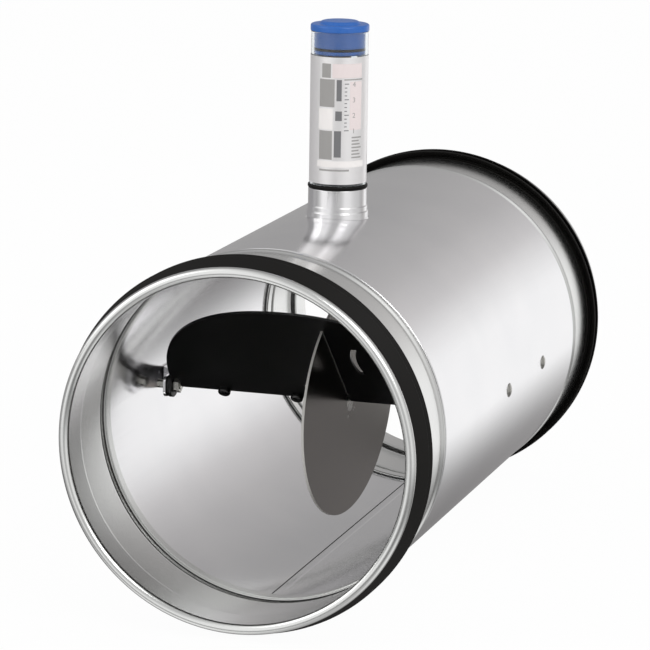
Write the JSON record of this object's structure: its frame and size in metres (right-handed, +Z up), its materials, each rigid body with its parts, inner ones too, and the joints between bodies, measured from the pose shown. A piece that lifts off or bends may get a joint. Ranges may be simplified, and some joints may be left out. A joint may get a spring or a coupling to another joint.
{
  "type": "constant airflow regulator",
  "caption": "Round duct section that keeps its airflow constant: a sprung blade on a cross shaft, lip seals at both ends, and an upright scale column with spring and damper.",
  "frame": {"origin": "centre of the inlet mouth, on the duct axis", "axes": "+Y downstream along the duct, +Z up the scale column, +X to the right seen from the inlet"},
  "size_m": [0.2064, 0.418, 0.3128],
  "materials": {
    "galvanised_steel": "bright galvanised sheet, lightly rolled",
    "black_rubber": "matt moulded rubber",
    "black_plastic": "moulded",
    "clear_plastic": "clear extruded tube",
    "printed_foil": "silver foil with plain printed scale",
    "white_plastic": "moulded",
    "zinc_plated": "zinc plated steel",
    "black_anodised": "black anodised sheet",
    "grey_aluminium": "grey anodised sheet",
    "spring_steel": "drawn wire",
    "brass": "turned",
    "blue_plastic": "glossy moulded"
  },
  "bodies": {
    "casing": {"duct_body": "galvanised_steel", "inlet_collar": "galvanised_steel", "outlet_collar": "galvanised_steel", "inlet_gasket": "black_rubber", "outlet_gasket": "black_rubber", "column_neck": "galvanised_steel", "neck_seal_ring": "black_rubber", "tube_socket": "black_plastic", "scale_tube": "clear_plastic", "scale_label": "printed_foil", "damper_cylinder": "white_plastic", "setting_carrier": "white_plastic", "right_bearing_bracket": "galvanised_steel", "left_bearing_bracket": "galvanised_steel", "right_bearing_bush": "black_plastic", "left_bearing_bush": "black_plastic", "bracket_rivets": "zinc_plated"},
    "blade": {"blade_shaft": "zinc_plated", "blade_plate": "black_anodised", "blade_screws": "zinc_plated", "guide_disc": "grey_aluminium", "disc_hub": "zinc_plated", "hub_screws": "zinc_plated", "wire_quadrant": "black_plastic", "wire_wrap": "spring_steel", "right_shaft_nut": "zinc_plated", "left_shaft_nut": "zinc_plated"},
    "plunger": {"damper_piston": "white_plastic", "pull_wire": "spring_steel", "tension_spring": "spring_steel"},
    "setting_rod": {"setting_rod": "zinc_plated"},
    "setting_nut": {"setting_nut": "brass"},
    "cap": {"top_cap": "blue_plastic", "cap_seal_ring": "black_rubber"}
  },
  "joints": [
    {"name": "blade_swing", "type": "hinge", "parent": "casing", "child": "blade", "pos_m": [0, 0.143, 0], "axis": [1, 0, 0], "range_deg": [-45, 41], "stiffness_Nm_per_rad": 0.3, "springref_deg": -2.41},
    {"name": "plunger_slide", "type": "slide", "parent": "casing", "child": "plunger", "axis": [0, 0, 1], "range_m": [-0.029, 0.0265], "deforming": ["tension_spring"]},
    {"name": "setting_turn", "type": "hinge", "parent": "casing", "child": "setting_nut", "pos_m": [0, 0.1795, 0], "axis": [0, 0, 1], "range_deg": [-1805, 1805]},
    {"name": "setting_lift", "type": "slide", "parent": "casing", "child": "setting_rod", "axis": [0, 0, 1], "range_m": [-0.0035, 0.0035]},
    {"name": "cap_pull", "type": "slide", "parent": "casing", "child": "cap", "axis": [0, 0, 1], "range_m": [0, 0.03]}
  ],
  "couplings": [
    {"joint": "plunger_slide", "follows": "blade_swing", "m_per_rad": 0.0365},
    {"joint": "setting_turn", "follows": "setting_lift", "rad_per_m": -8976}
  ]
}
